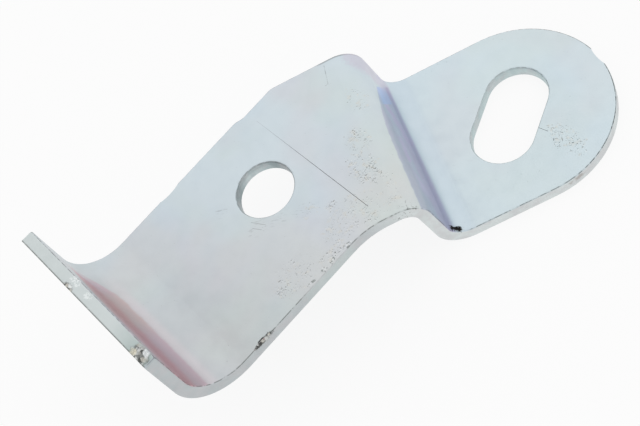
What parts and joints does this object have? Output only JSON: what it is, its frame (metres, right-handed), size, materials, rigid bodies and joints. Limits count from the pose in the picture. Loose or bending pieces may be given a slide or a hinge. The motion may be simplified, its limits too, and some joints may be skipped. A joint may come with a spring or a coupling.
{
  "type": "mounting bracket",
  "caption": "Bent sheet-metal mounting bracket: dog-legged strap with an upright flange, a round bolt hole and a joggled, round-ended tail with a slanted adjusting slot.",
  "frame": {"origin": "centre of the round bolt hole on the underside of the deck", "axes": "+Z along the bolt hole, towards the side that the flange stands up on; +X along the deck, from the flange towards the tail"},
  "size_m": [0.1035, 0.0566, 0.041],
  "materials": {
    "zinc_plated_steel": "satin bright zinc plating with a faint blue and violet bloom"
  },
  "bodies": {
    "root": {"bracket": "zinc_plated_steel"}
  },
  "joints": []
}
